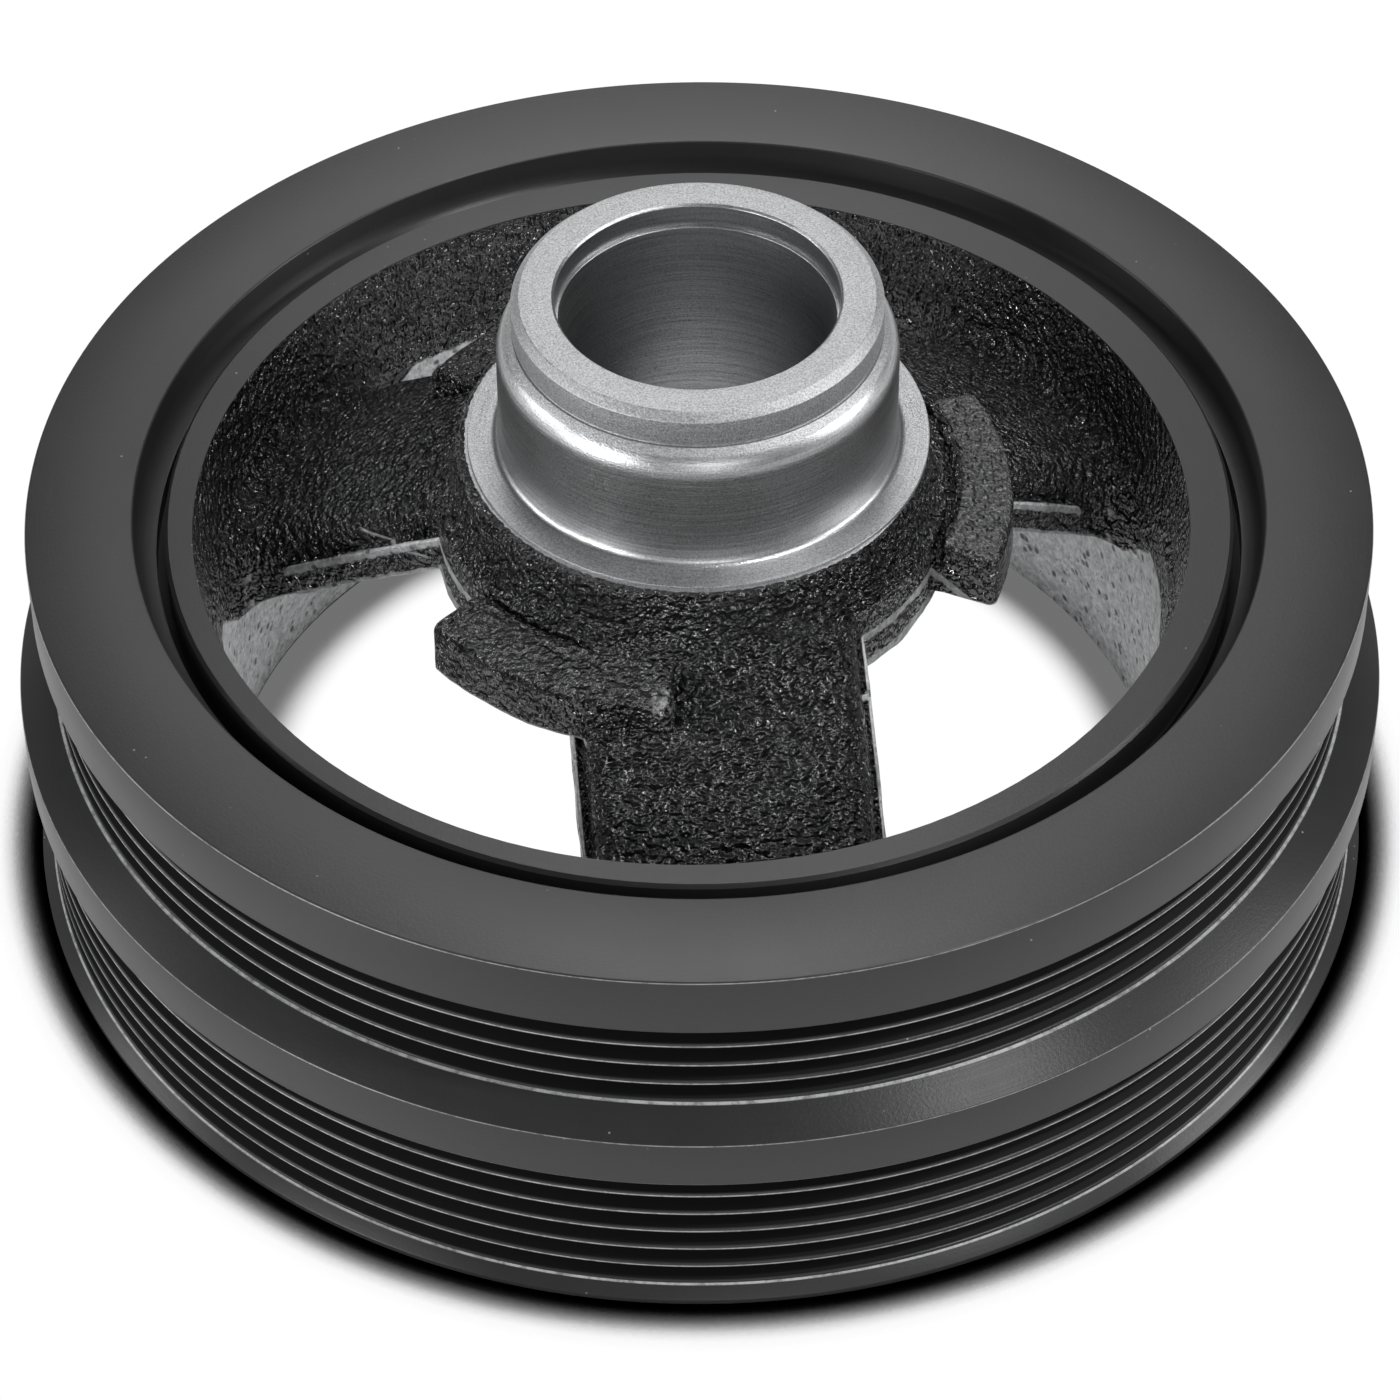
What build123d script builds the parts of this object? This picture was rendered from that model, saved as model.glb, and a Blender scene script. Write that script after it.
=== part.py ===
from build123d import *
import math
import os

# Harmonic balancer of a truck engine, lying on the face that looks away from the engine.
# +Z is the crankshaft axis and points to the engine; z = 0 is the surface it lies on.
# All lengths are in millimetres, all angles in degrees.

# Crank bore and snout, turned
bore_r = 18.8
bore_relief = 0.5            # how much wider the bore's mouth is than the bore
bore_relief_depth = 3.6
bore_chamfer = 1.0
bolt_hole_r = 12.5
bolt_seat_thickness = 8.0    # wall at the bore's end, under the crank bolt's head
nose_wall = 6.4              # wall of the snout's end, outside the bore
nose_length = 5.4
nose_chamfer = 1.1
relief_depth = 0.35          # thin groove between the nose and its lead-in
relief_width = 0.6
lead_in = 2.2                # 45 degree step from the nose up to the seal journal
lead_in_round = 0.8
journal_length = 16.6
journal_foot_r = 1.3
shoulder_width = 4.4         # bare flat ring round the foot of the journal
shoulder_z = 70.9
land_depth = 6.0             # how far the turned land goes down into the casting

# Boss of the casting, under the snout
boss_margin = 0.6            # cast boss radius past the turned shoulder
boss_drop = 0.5              # cast rim of the boss lies this far below the shoulder
boss_draft = 1.1             # what the boss wall gains in radius on its way down
boss_foot_round = 2.5
boss_edge_round = 1.0
hub_disc_margin = 2.0        # plan radius of the casting between the arms, past the boss
lower_boss_wall = 6.2
lower_boss_z = 34.0
lower_boss_round = 2.5
cast_shift = 1.5             # all that was cast and not turned lies this far off the axis
cast_shift_azimuth = 225.0

# Sloping web that is cut into arms
arm_count = 3
arm_azimuth = 276.0
arm_half_width = 19.1
arm_round = 4.5
ledge_depth = 1.3            # how far the ledge along the arms' sides, where the mould parted, stands out
ledge_drop = 4.7             # from the arm's upper face down to the ledge
ledge_foot = 0.5             # from the ledge down to the arm's lower face
ledge_end_r = 58.0
ledge_round = 2.0            # rounding of the ledge's outer end
ledge_edge = 0.4
web_hub_z = 64.1             # top of the web at the boss
web_rim_z = 42.4             # top of the web at the rim
web_thickness = 11.0
web_rim_fillet = 3.5
window_rim_corner = 5.0
window_hub_corner = 2.5

# Curved ears beside the arms
ear_reach = 9.3              # from the plan edge of the casting to the ear's outside
ear_ridge_width = 8.3
ear_ridge_z = 63.2           # inner edge of the ear's top, beside the groove
ear_edge_z = 61.7            # outer edge of the ear's top
ear_low_z = 54.0
ear_groove_z = 61.8
ear_start = -58.0            # angles from the arm's middle
ear_end = -9.5
ear_round = 1.6
ear_ridge_round = 0.9
ear_end_round = 1.2

# Rim of the hub
rim_r = 74.36
rim_recess = 2.3             # both rim faces lie this far inside the ring's faces
rim_wall_top = 5.0           # wall thickness, taken before the casting is shifted
rim_wall_waist = 5.5         # from the inner wall's ridge to the waist
rim_wall_bottom = 6.3
rim_edge = 0.5
waist_depth = 2.5            # the rim's outside is waisted to hold the rubber
land_height = 5.2
waist_slope = 3.0

# Rubber between the rim and the inertia ring
rubber_recess = 6.2          # from the rim's faces to the rubber's ends

# Inertia ring with both pulleys
bore_clearance = 1.34        # inertia ring's bore past the rim
mouth_gap = 4.14             # width of the gap at both mouths
mouth_straight = 3.1         # straight wall of the mouth before it curves in
rib_pitch = 3.56
rib_depth = 2.7
rib_tip = 0.7
rear_wall = 12.8             # from the mouth to the tips of the four-rib pulley
rear_ribs = 4
rear_flange_height = 9.3
rear_flange_lip = 2.2
rear_flange_bevel = 1.34
front_wall = 16.1            # from the mouth to the tips of the six-rib pulley
front_ribs = 6
mid_flange_height = 7.6
mid_flange_lip = 2.2
mid_flange_slope = 2.7
mid_flange_bevel = 1.07
front_lip = 1.9
front_lip_bevel = 1.4
front_lip_height = 0.99
ring_edge = 0.4

# Worked out from the sizes above
nose_r = bore_r + nose_wall
journal_r = nose_r + lead_in
shoulder_r = journal_r + shoulder_width
journal_z = shoulder_z + journal_length
nose_foot_z = journal_z + lead_in
nose_z = nose_foot_z + nose_length
boss_r = shoulder_r + boss_margin
boss_z = shoulder_z - boss_drop
foot_r = boss_r + boss_draft
hub_disc_r = foot_r + hub_disc_margin
lower_boss_r = bore_r + lower_boss_wall
cast_x = cast_shift * math.cos(math.radians(cast_shift_azimuth))
cast_y = cast_shift * math.sin(math.radians(cast_shift_azimuth))
ear_r = hub_disc_r + ear_reach
ring_bore_r = rim_r + bore_clearance
mouth_r = rim_r + mouth_gap
rear_tip_r = mouth_r + rear_wall
front_tip_r = mouth_r + front_wall
front_z = front_lip_height + front_lip_bevel
front_top_z = front_z + front_ribs * rib_pitch
mid_low_z = front_top_z + mid_flange_bevel
mid_high_z = mid_low_z + mid_flange_height
rear_z = mid_high_z + mid_flange_slope
rear_top_z = rear_z + rear_ribs * rib_pitch
rear_flange_z = rear_top_z + rear_flange_bevel
ring_z = rear_flange_z + rear_flange_height
rim_top_z = ring_z - rim_recess
waist_r = rim_r - waist_depth
ridge_r = waist_r - rim_wall_waist
ridge_z = web_rim_z - web_thickness / 4
rim_high_r = rim_r - rim_wall_top
rim_low_r = rim_r - rim_wall_bottom
web_slope = (web_hub_z - web_rim_z) / (ridge_r - foot_r)
cast_axis = Axis((cast_x, cast_y, 0), (0, 0, 1))


def ribs(tip_r, low_z, count):
    """Points of a ribbed pulley's section, from its lowest tip to its highest."""
    half_tip = rib_tip / 2
    flank = rib_depth * math.tan(math.radians(20))
    points = [(tip_r, low_z)]
    for index in range(count):
        start = low_z + index * rib_pitch
        end = start + rib_pitch
        points.append((tip_r, start + half_tip))
        points.append((tip_r - rib_depth, start + half_tip + flank))
        points.append((tip_r - rib_depth, end - half_tip - flank))
        points.append((tip_r, end - half_tip))
    points.append((tip_r, low_z + count * rib_pitch))
    return points


def web_top(radius):
    """Height of the web's upper face at a radius."""
    return web_hub_z - (radius - foot_r) * web_slope


def wall_r(height):
    """Radius of the rim's inner wall at a height above its ridge."""
    return ridge_r + (rim_high_r - ridge_r) * (height - ridge_z) / (rim_top_z - ridge_z)


def above_middle(edge):
    """Whether an edge of the web lies nearer to its upper face than to its lower one."""
    middle = edge @ 0.5
    radius = math.hypot(middle.X - cast_x, middle.Y - cast_y)
    return middle.Z > web_top(radius) - web_thickness / 2


def is_upright(face):
    """Whether a flat face stands upright."""
    return abs(face.normal_at().Z) < 0.01


def on_ear_top(edge):
    """Whether an edge of an ear's end lies along its top."""
    return (edge @ 0.5).Z > ear_edge_z - ear_round / 2


def polar(radius, angle):
    """Plan point at a radius and an angle in degrees."""
    return (radius * math.cos(math.radians(angle)), radius * math.sin(math.radians(angle)))


def cast_section(angle):
    """Upright plane through the casting's own axis, with its X pointing out at an angle."""
    across = polar(1, angle + 90)
    return Plane((cast_x, cast_y, 0), (*polar(1, angle), 0), (-across[0], -across[1], 0))


# Inertia ring: one casting, turned, with a pulley of six ribs and one of four
with BuildPart() as inertia_ring:
    with BuildSketch(Plane.XZ) as ring_section:
        with BuildLine():
            front = ribs(front_tip_r, front_z, front_ribs)
            rear = ribs(rear_tip_r, rear_z, rear_ribs)
            outside = [(mouth_r, 0), (front_tip_r + front_lip - ring_edge, 0)]
            outside.append((front_tip_r + front_lip, ring_edge))
            outside.append((front_tip_r + front_lip, front_lip_height))
            outside += front
            outside.append((front_tip_r + mid_flange_lip, mid_low_z))
            outside.append((front_tip_r + mid_flange_lip, mid_high_z))
            outside += rear
            outside.append((rear_tip_r + rear_flange_lip, rear_flange_z))
            outside.append((rear_tip_r + rear_flange_lip, ring_z - ring_edge))
            outside.append((rear_tip_r + rear_flange_lip - ring_edge, ring_z))
            outside.append((mouth_r, ring_z))
            Polyline(*outside)
            mouth_round = mouth_r - ring_bore_r
            upper_end = ring_z - mouth_straight
            Line((mouth_r, ring_z), (mouth_r, upper_end))
            RadiusArc((mouth_r, upper_end), (ring_bore_r, upper_end - mouth_round), mouth_round)
            Line((ring_bore_r, upper_end - mouth_round), (ring_bore_r, mouth_straight + mouth_round))
            RadiusArc((ring_bore_r, mouth_straight + mouth_round), (mouth_r, mouth_straight), mouth_round)
            Line((mouth_r, mouth_straight), (mouth_r, 0))
        make_face()
    revolve(axis=Axis.Z)
inertia_ring.part.label = "inertia_ring"

# Rubber: fills the waist of the rim out to the bore of the ring
rubber_low = rim_recess + rubber_recess
rubber_high = rim_top_z - rubber_recess
land_low = rim_recess + land_height
land_high = rim_top_z - land_height
waist_low = land_low + waist_slope
waist_high = land_high - waist_slope
end_share = (rubber_recess - land_height) / waist_slope
rubber_end_r = rim_r - waist_depth * end_share
with BuildPart() as rubber_ring:
    with BuildSketch(Plane.XZ) as rubber_section:
        with BuildLine():
            Polyline(
                (rubber_end_r, rubber_low),
                (ring_bore_r, rubber_low),
                (ring_bore_r, rubber_high),
                (rubber_end_r, rubber_high),
                (waist_r, waist_high),
                (waist_r, waist_low),
                close=True,
            )
        make_face()
    revolve(axis=Axis.Z)
rubber_ring.part.label = "rubber_ring"

# Sloping web, cut by the windows into three arms with rounded edges
web_low_z = web_top(hub_disc_r) - web_thickness
web_start_r = hub_disc_r - arm_round
web_end_r = waist_r - rim_wall_waist / 3
web_end_z = web_rim_z + 2.5 * web_rim_fillet
window_r = wall_r(web_rim_z)
with BuildPart() as web:
    with BuildSketch(cast_section(arm_azimuth)) as web_section:
        with BuildLine():
            Polyline(
                (0, web_low_z),
                (0, web_top(web_start_r)),
                (web_start_r, web_top(web_start_r)),
                (window_r, web_rim_z),
                (wall_r(web_end_z), web_end_z),
                (web_end_r, web_end_z),
                (web_end_r, web_rim_z - web_thickness),
                (ridge_r, web_rim_z - web_thickness),
                (hub_disc_r, web_low_z),
                close=True,
            )
        make_face()
        fillet(web_section.vertices().sort_by_distance((window_r, web_rim_z, 0))[0], web_rim_fillet)
    revolve(axis=cast_axis)
    with BuildSketch(Plane((cast_x, cast_y, 0))) as windows:
        Circle(window_r)
        Circle(hub_disc_r, mode=Mode.SUBTRACT)
        with PolarLocations(0, arm_count, start_angle=arm_azimuth):
            with Locations((window_r / 2, 0)):
                Rectangle(window_r + hub_disc_r, 2 * arm_half_width, mode=Mode.SUBTRACT)
        rim_corners = windows.vertices().filter_by(lambda v: math.hypot(v.X, v.Y) > window_r - 0.1)
        fillet(rim_corners, window_rim_corner)
        hub_corners = windows.vertices().filter_by(lambda v: math.hypot(v.X, v.Y) < hub_disc_r + 0.1)
        fillet(hub_corners, window_hub_corner)
    extrude(amount=nose_z, mode=Mode.SUBTRACT)
    window_edges = web.edges(Select.LAST).filter_by(GeomType.LINE, reverse=True)
    fillet(window_edges.filter_by(above_middle).sort_by(Axis.X), arm_round)

# Ledges along the arms' sides, with a rounded outer end
with BuildPart() as ledges:
    with BuildSketch(cast_section(arm_azimuth)) as ledge_section:
        with BuildLine():
            Polyline(
                (foot_r, web_top(foot_r) - ledge_drop),
                (ledge_end_r, web_top(ledge_end_r) - ledge_drop),
                (ledge_end_r, web_top(ledge_end_r) - web_thickness + ledge_foot),
                (foot_r, web_top(foot_r) - web_thickness + ledge_foot),
                close=True,
            )
        make_face()
        fillet(ledge_section.vertices().sort_by(Axis.X)[-2:], ledge_round)
    revolve(axis=cast_axis)
    with BuildSketch(Plane((cast_x, cast_y, 0))) as ledge_plan:
        with PolarLocations(0, arm_count, start_angle=arm_azimuth):
            with Locations((window_r / 2, 0)):
                Rectangle(window_r, 2 * (arm_half_width + ledge_depth))
    extrude(amount=nose_z, mode=Mode.INTERSECT)
    fillet(ledges.faces().filter_by(GeomType.PLANE).edges().sort_by(Axis.X), ledge_edge)

# Boss of the casting, with a rounded foot and edge
with BuildPart() as boss:
    with BuildSketch(cast_section(arm_azimuth)) as boss_section:
        with BuildLine():
            Polyline(
                (0, web_low_z),
                (0, boss_z),
                (boss_r, boss_z),
                (foot_r, web_hub_z),
                (hub_disc_r, web_top(hub_disc_r)),
                (hub_disc_r, web_low_z),
                close=True,
            )
        make_face()
        fillet(boss_section.vertices().sort_by_distance((boss_r, boss_z, 0))[0], boss_edge_round)
        fillet(boss_section.vertices().sort_by_distance((foot_r, web_hub_z, 0))[0], boss_foot_round)
    revolve(axis=cast_axis)

# Curved ears, each with a groove to the boss and a top that leans outward; each ends on its arm
with BuildPart() as ears:
    for index in range(arm_count):
        middle = arm_azimuth + index * 360 / arm_count
        with BuildSketch(cast_section(middle + ear_start)) as ear_section:
            with BuildLine():
                Polyline(
                    (boss_r, ear_low_z),
                    (boss_r, ear_groove_z),
                    (ear_r - ear_ridge_width, ear_groove_z),
                    (ear_r - ear_ridge_width, ear_ridge_z),
                    (ear_r, ear_edge_z),
                    (ear_r, ear_low_z),
                    close=True,
                )
            make_face()
            fillet(ear_section.vertices().sort_by_distance((ear_r, ear_edge_z, 0))[0], ear_round)
            ridge = ear_section.vertices().sort_by_distance((ear_r - ear_ridge_width, ear_ridge_z, 0))[0]
            fillet(ridge, ear_ridge_round)
        revolve(axis=cast_axis, revolution_arc=ear_end - ear_start)
        ends = ears.faces(Select.LAST).filter_by(GeomType.PLANE).filter_by(is_upright)
        fillet(ends.edges().filter_by(on_ear_top), ear_end_round)

# Hub: rim, arms, boss and ears are one casting, turned on the crankshaft's axis
with BuildPart() as hub:
    with BuildSketch(Plane.XZ) as rim_section:
        with BuildLine():
            Polyline(
                (hub_disc_r, rim_recess),
                (rim_r - rim_edge, rim_recess),
                (rim_r, rim_recess + rim_edge),
                (rim_r, land_low),
                (waist_r, waist_low),
                (waist_r, waist_high),
                (rim_r, land_high),
                (rim_r, rim_top_z - rim_edge),
                (rim_r - rim_edge, rim_top_z),
                (hub_disc_r, rim_top_z),
                close=True,
            )
        make_face()
    revolve(axis=Axis.Z)
    with BuildSketch(cast_section(arm_azimuth)) as bowl_section:
        with BuildLine():
            Polyline(
                (0, rim_recess),
                (rim_low_r, rim_recess),
                (ridge_r, ridge_z),
                (rim_high_r, rim_top_z),
                (0, rim_top_z),
                close=True,
            )
        make_face()
    revolve(axis=cast_axis, mode=Mode.SUBTRACT)
    add(web.part)
    add(ledges.part)
    add(boss.part)
    add(ears.part)
    with BuildSketch(Plane.XZ) as turned_section:
        with BuildLine():
            Polyline(
                (0, lower_boss_z),
                (lower_boss_r, lower_boss_z),
                (lower_boss_r, shoulder_z - land_depth),
                (shoulder_r, shoulder_z - land_depth),
                (shoulder_r, shoulder_z),
                (journal_r, shoulder_z),
                (journal_r, journal_z),
                (nose_r, nose_foot_z),
                (nose_r - relief_depth, nose_foot_z),
                (nose_r - relief_depth, nose_foot_z + relief_width),
                (nose_r, nose_foot_z + relief_width),
                (nose_r, nose_z - nose_chamfer),
                (nose_r - nose_chamfer, nose_z),
                (0, nose_z),
                close=True,
            )
        make_face()
        lower_edge = turned_section.vertices().sort_by_distance((lower_boss_r, lower_boss_z, 0))[0]
        fillet(lower_edge, lower_boss_round)
        fillet(turned_section.vertices().sort_by_distance((journal_r, shoulder_z, 0))[0], journal_foot_r)
        fillet(turned_section.vertices().sort_by_distance((journal_r, journal_z, 0))[0], lead_in_round)
    revolve(axis=Axis.Z)
    with BuildSketch(Plane.XZ) as bore_section:
        with BuildLine():
            Polyline(
                (0, lower_boss_z),
                (bolt_hole_r, lower_boss_z),
                (bolt_hole_r, lower_boss_z + bolt_seat_thickness),
                (bore_r, lower_boss_z + bolt_seat_thickness),
                (bore_r, nose_z - bore_relief_depth),
                (bore_r + bore_relief, nose_z - bore_relief_depth),
                (bore_r + bore_relief, nose_z - bore_chamfer),
                (bore_r + bore_relief + bore_chamfer, nose_z),
                (0, nose_z),
                close=True,
            )
        make_face()
    revolve(axis=Axis.Z, mode=Mode.SUBTRACT)
hub.part.label = "hub"

os.makedirs("parts", exist_ok=True)
export_step(hub.part, "parts/hub.step")
export_step(rubber_ring.part, "parts/rubber_ring.step")
export_step(inertia_ring.part, "parts/inertia_ring.step")
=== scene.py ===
"""Harmonic balancer on a pale studio floor, with its turned snout up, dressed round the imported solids.

Lengths are in metres and angles in degrees unless a name says otherwise. The part stands on z = 0 and its
shaft's axis is the Z axis.
"""

import functools
import logging
import math
from dataclasses import dataclass
from enum import Enum

import bpy
from mathutils import Matrix, Vector

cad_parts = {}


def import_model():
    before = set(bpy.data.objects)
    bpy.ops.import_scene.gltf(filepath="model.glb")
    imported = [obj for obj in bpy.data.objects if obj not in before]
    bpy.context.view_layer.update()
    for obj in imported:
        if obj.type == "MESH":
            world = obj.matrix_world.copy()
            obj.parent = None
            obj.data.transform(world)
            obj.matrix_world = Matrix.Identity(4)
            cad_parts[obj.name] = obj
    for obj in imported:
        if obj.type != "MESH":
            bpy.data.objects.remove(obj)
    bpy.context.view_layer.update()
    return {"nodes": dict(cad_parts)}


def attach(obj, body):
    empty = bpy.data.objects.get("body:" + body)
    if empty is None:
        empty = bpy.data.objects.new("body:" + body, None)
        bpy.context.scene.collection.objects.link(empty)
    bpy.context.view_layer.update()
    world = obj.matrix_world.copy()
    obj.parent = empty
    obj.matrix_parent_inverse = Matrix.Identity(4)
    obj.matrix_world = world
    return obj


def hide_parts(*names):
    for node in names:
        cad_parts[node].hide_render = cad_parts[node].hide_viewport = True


log = logging.getLogger("balancer")

MM = 0.001
PHOTO_WIDTH = 1400


class Slot(Enum):
    """Material slots of the record."""

    CASTING = "hub_casting"
    RUBBER = "rubber"
    RING = "ring_paint"


# Outlines and meshes


@dataclass(frozen=True)
class Corner:
    """A corner of a turned outline.

    Args:
        radius: Distance from the axis.
        height: Height above the floor.
        rounding: Radius of the corner's arc, or 0 for a sharp corner.
    """

    radius: float
    height: float
    rounding: float = 0.0


def rounded_outline(corners: list[Corner], arc_steps: int = 4) -> list[tuple[float, float]]:
    """Turns the corners of a closed outline into points, with an arc at each rounded one.

    Args:
        corners: The outline's corners in order.
        arc_steps: Straight pieces in each arc.

    Returns:
        Points as (radius, height).
    """
    points = []
    for index, corner in enumerate(corners):
        here = Vector((corner.radius, corner.height))
        before = corners[index - 1]
        after = corners[(index + 1) % len(corners)]
        to_before = Vector((before.radius, before.height)) - here
        to_after = Vector((after.radius, after.height)) - here
        if corner.rounding <= 0:
            points.append((here.x, here.y))
            continue
        half_angle = to_before.angle(to_after) / 2
        reach = corner.rounding / math.tan(half_angle)
        inward = (to_before.normalized() + to_after.normalized()).normalized()
        middle = here + inward * (corner.rounding / math.sin(half_angle))
        start = here + to_before.normalized() * reach - middle
        end = here + to_after.normalized() * reach - middle
        turn = start.angle_signed(end)
        for step in range(arc_steps + 1):
            share = step / arc_steps
            arm = Matrix.Rotation(-turn * share, 2) @ start
            points.append((middle.x + arm.x, middle.y + arm.y))
    return points


def select_only(piece: bpy.types.Object) -> None:
    """Makes one object the selected and active one.

    Args:
        piece: The object.
    """
    bpy.ops.object.select_all(action="DESELECT")
    piece.select_set(True)
    bpy.context.view_layer.objects.active = piece


def lathe(name: str, outline: list[tuple[float, float]], steps: int) -> bpy.types.Object:
    """Draws a closed outline by extruding a vertex and spins it round the Z axis.

    Args:
        name: Name of the new piece.
        outline: Points as (radius, height).
        steps: Steps of a full turn.

    Returns:
        The turned piece.
    """
    bpy.ops.object.select_all(action="DESELECT")
    bpy.context.tool_settings.mesh_select_mode = (True, False, False)
    bpy.ops.mesh.primitive_plane_add(size=MM, location=(0, 0, 0))
    piece = bpy.context.active_object
    piece.name = name
    piece.data.name = name
    bpy.ops.object.mode_set(mode="EDIT")
    bpy.ops.mesh.merge(type="CENTER")
    bpy.ops.transform.translate(value=(outline[0][0], 0, outline[0][1]))
    for (radius, height), (next_radius, next_height) in zip(outline, outline[1:]):
        move = {"value": (next_radius - radius, 0, next_height - height)}
        bpy.ops.mesh.extrude_region_move(TRANSFORM_OT_translate=move)
    bpy.ops.mesh.select_all(action="SELECT")
    bpy.ops.mesh.edge_face_add()
    bpy.ops.mesh.delete(type="ONLY_FACE")
    bpy.ops.mesh.select_all(action="SELECT")
    bpy.ops.mesh.spin(steps=steps, angle=math.tau, center=(0, 0, 0), axis=(0, 0, 1))
    bpy.ops.mesh.select_all(action="SELECT")
    bpy.ops.mesh.remove_doubles(threshold=MM / 1000)
    bpy.ops.mesh.normals_make_consistent(inside=False)
    bpy.ops.object.mode_set(mode="OBJECT")
    return piece


def smooth(piece: bpy.types.Object, crease: float = 40.0) -> None:
    """Shades a piece smooth, apart from edges sharper than the crease angle."""
    select_only(piece)
    bpy.ops.object.shade_smooth_by_angle(angle=math.radians(crease))


def dress(piece: bpy.types.Object, material: bpy.types.Material, slot: Slot, *nodes: str) -> None:
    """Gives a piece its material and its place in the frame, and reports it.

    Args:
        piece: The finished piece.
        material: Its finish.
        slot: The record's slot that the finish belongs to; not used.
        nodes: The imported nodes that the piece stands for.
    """
    piece.data.materials.clear()
    piece.data.materials.append(material)
    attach(piece, "root")
    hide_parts(*nodes)
    log.info("%s: %d faces", piece.name, len(piece.data.polygons))


# Shader maths


class Value:
    """A number in a material, which takes part in Python arithmetic by adding Math nodes."""

    def __init__(self, graph: "Graph", socket: bpy.types.NodeSocket) -> None:
        """Wraps an output socket of a graph."""
        self.graph = graph
        self.socket = socket

    def _math(self, operation: str, *values: "Value | float") -> "Value":
        """Adds a Math node.

        Args:
            operation: The node's operation.
            values: What it works on, in order.

        Returns:
            The node's result.
        """
        inputs = dict(enumerate(values))
        node = self.graph.node("ShaderNodeMath", {"operation": operation}, inputs)
        return Value(self.graph, node.outputs[0])

    def __add__(self, other: "Value | float") -> "Value":
        """Sum."""
        return self._math("ADD", self, other)

    __radd__ = __add__

    def __mul__(self, other: "Value | float") -> "Value":
        """Product."""
        return self._math("MULTIPLY", self, other)

    __rmul__ = __mul__

    def __sub__(self, other: "Value | float") -> "Value":
        """Difference."""
        return self._math("SUBTRACT", self, other)

    def __rsub__(self, other: float) -> "Value":
        """Difference from a plain number."""
        return self._math("SUBTRACT", other, self)

    def __truediv__(self, other: "Value | float") -> "Value":
        """Quotient."""
        return self._math("DIVIDE", self, other)

    def __pow__(self, other: "Value | float") -> "Value":
        """Power."""
        return self._math("POWER", self, other)

    def lower(self, other: "Value | float") -> "Value":
        """The lower of two values."""
        return self._math("MINIMUM", self, other)

    def higher(self, other: "Value | float") -> "Value":
        """The higher of two values."""
        return self._math("MAXIMUM", self, other)

    def wrapped(self, period: float) -> "Value":
        """The value's remainder over a period, from minus half of it to plus half."""
        return self._math("FLOORED_MODULO", self + period / 2, period) - period / 2

    def sine(self) -> "Value":
        """Sine of an angle in radians."""
        return self._math("SINE", self)

    def size(self) -> "Value":
        """The value without its sign."""
        return self._math("ABSOLUTE", self)

    def rise(self, low: float, high: float) -> "Value":
        """A soft step.

        Args:
            low: Where the step is still 0.
            high: Where it has reached 1, above low or below it.

        Returns:
            The step, from 0 to 1.
        """
        settings = {"interpolation_type": "SMOOTHSTEP"}
        ends = {"To Min": 0.0, "To Max": 1.0} if low < high else {"To Min": 1.0, "To Max": 0.0}
        inputs = {"Value": self, "From Min": min(low, high), "From Max": max(low, high), **ends}
        return Value(self.graph, self.graph.node("ShaderNodeMapRange", settings, inputs).outputs[0])

    def above(self, limit: float, blur: float) -> "Value":
        """0 up to a limit, and 1 from a blur above it."""
        return self.rise(limit, limit + blur)

    def below(self, limit: float, blur: float) -> "Value":
        """0 down to a limit, and 1 from a blur below it."""
        return self.rise(limit, limit - blur)


def strongest(shares: list[Value]) -> Value:
    """The highest of several shares."""
    return functools.reduce(Value.higher, shares)


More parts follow.
